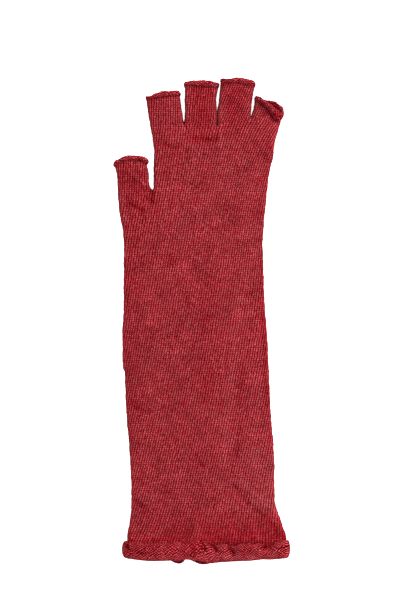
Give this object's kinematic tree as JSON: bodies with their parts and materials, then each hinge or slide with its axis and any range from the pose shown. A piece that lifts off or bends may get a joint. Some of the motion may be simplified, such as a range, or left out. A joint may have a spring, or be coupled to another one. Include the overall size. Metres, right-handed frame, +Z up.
{
  "type": "long fingerless knitted glove",
  "caption": "Forearm-length knitted glove with five short open digit tubes and a rolled cuff, lying flat on its palm side.",
  "frame": {"origin": "centre of the bounding box's base, on the surface that the glove lies on", "axes": "+Y from the cuff to the fingers, +Z up out of the back of the hand, +X away from the thumb"},
  "size_m": [0.1273, 0.3483, 0.0164],
  "materials": {
    "red_knit": "matte heathered stockinette knit"
  },
  "bodies": {
    "root": {"cuff": "red_knit", "arm_sleeve": "red_knit", "palm": "red_knit", "thumb_tube": "red_knit", "index_tube": "red_knit", "middle_tube": "red_knit", "ring_tube": "red_knit", "little_tube": "red_knit"}
  },
  "joints": []
}
